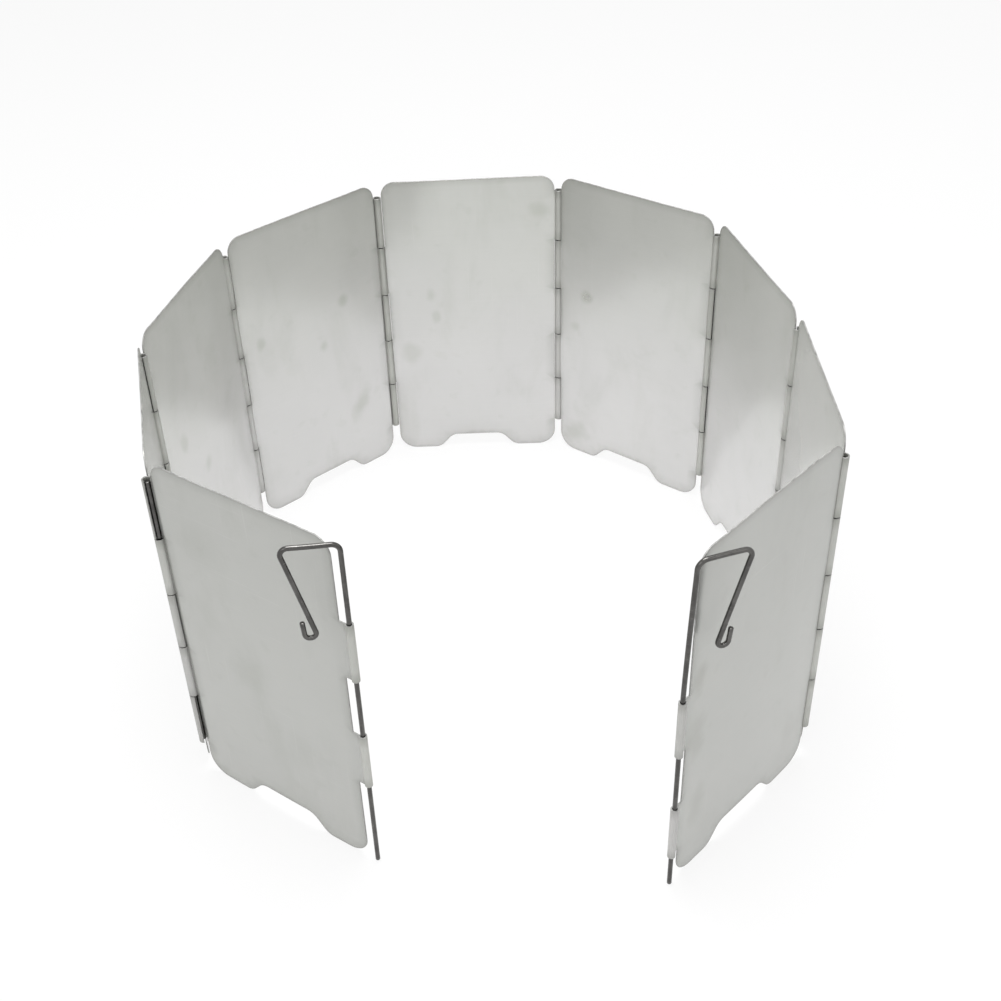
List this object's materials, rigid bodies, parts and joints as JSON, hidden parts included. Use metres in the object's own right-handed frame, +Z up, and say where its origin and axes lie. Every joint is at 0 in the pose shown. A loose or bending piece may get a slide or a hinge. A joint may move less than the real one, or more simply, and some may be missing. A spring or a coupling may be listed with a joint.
{
  "type": "folding stove windscreen",
  "caption": "Folding aluminium camp-stove windscreen of hinged plates standing as an open ring, with hooked wire stakes in its end plates.",
  "frame": {"origin": "on the floor under the middle of the standing ring's outer box", "axes": "+Z up, +Y from the open front to the back plate, +X to the right as seen from the front"},
  "size_m": [0.2504, 0.2806, 0.1464],
  "materials": {
    "sheet_aluminium": "satin",
    "steel_wire": "bright drawn"
  },
  "bodies": {
    "plate_1": {"panel_1": "sheet_aluminium", "pin_1": "steel_wire"},
    "plate_2": {"panel_2": "sheet_aluminium", "pin_2": "steel_wire"},
    "plate_3": {"panel_3": "sheet_aluminium", "pin_3": "steel_wire"},
    "plate_4": {"panel_4": "sheet_aluminium", "pin_4": "steel_wire"},
    "plate_5": {"panel_5": "sheet_aluminium", "pin_5": "steel_wire"},
    "plate_6": {"panel_6": "sheet_aluminium", "pin_6": "steel_wire"},
    "plate_7": {"panel_7": "sheet_aluminium", "pin_7": "steel_wire"},
    "plate_8": {"panel_8": "sheet_aluminium", "pin_8": "steel_wire"},
    "plate_9": {"panel_9": "sheet_aluminium"},
    "left_stake": {"left_stake": "steel_wire"},
    "right_stake": {"right_stake": "steel_wire"}
  },
  "joints": [
    {"name": "hinge_1", "type": "hinge", "parent": "plate_2", "child": "plate_1", "pos_m": [-0.10702, -0.07731, 0.0765], "axis": [0, 0, -1], "range_deg": [0, 221.12]},
    {"name": "hinge_2", "type": "hinge", "parent": "plate_3", "child": "plate_2", "pos_m": [-0.12356, 0.00402, 0.0765], "axis": [0, 0, 1], "range_deg": [0, 152.01]},
    {"name": "hinge_3", "type": "hinge", "parent": "plate_4", "child": "plate_3", "pos_m": [-0.10348, 0.08455, 0.0765], "axis": [0, 0, -1], "range_deg": [0, 212.81]},
    {"name": "hinge_4", "type": "hinge", "parent": "plate_5", "child": "plate_4", "pos_m": [-0.04056, 0.13868, 0.0765], "axis": [0, 0, 1], "range_deg": [0, 136.81]},
    {"name": "hinge_5", "type": "hinge", "parent": "plate_5", "child": "plate_6", "pos_m": [0.04244, 0.13868, 0.0765], "axis": [0, 0, 1], "range_deg": [0, 217.51]},
    {"name": "hinge_6", "type": "hinge", "parent": "plate_6", "child": "plate_7", "pos_m": [0.10602, 0.08533, 0.0765], "axis": [0, 0, -1], "range_deg": [0, 139.72]},
    {"name": "hinge_7", "type": "hinge", "parent": "plate_7", "child": "plate_8", "pos_m": [0.12356, 0.0042, 0.0765], "axis": [0, 0, 1], "range_deg": [0, 191.22]},
    {"name": "hinge_8", "type": "hinge", "parent": "plate_8", "child": "plate_9", "pos_m": [0.12139, -0.07877, 0.0765], "axis": [0, 0, -1], "range_deg": [0, 135.22]},
    {"name": "left_stake_swing", "type": "hinge", "parent": "plate_1", "child": "left_stake", "pos_m": [-0.03894, -0.1248, 0.0765], "axis": [0, 0, 1], "range_deg": [0, 301.5]},
    {"name": "right_stake_swing", "type": "hinge", "parent": "plate_9", "child": "right_stake", "pos_m": [0.06394, -0.13868, 0.0765], "axis": [0, 0, -1], "range_deg": [-14, 170]}
  ],
  "couplings": [
    {"joint": "hinge_1", "follows": "hinge_4", "ratio": 1.6162},
    {"joint": "hinge_2", "follows": "hinge_4", "ratio": 1.1111},
    {"joint": "hinge_3", "follows": "hinge_4", "ratio": 1.5555},
    {"joint": "hinge_5", "follows": "hinge_4", "ratio": 1.5898},
    {"joint": "hinge_6", "follows": "hinge_4", "ratio": 1.0212},
    {"joint": "hinge_7", "follows": "hinge_4", "ratio": 1.3976},
    {"joint": "hinge_8", "follows": "hinge_4", "ratio": 0.9883},
    {"joint": "left_stake_swing", "follows": "hinge_4", "ratio": 2.2037}
  ]
}
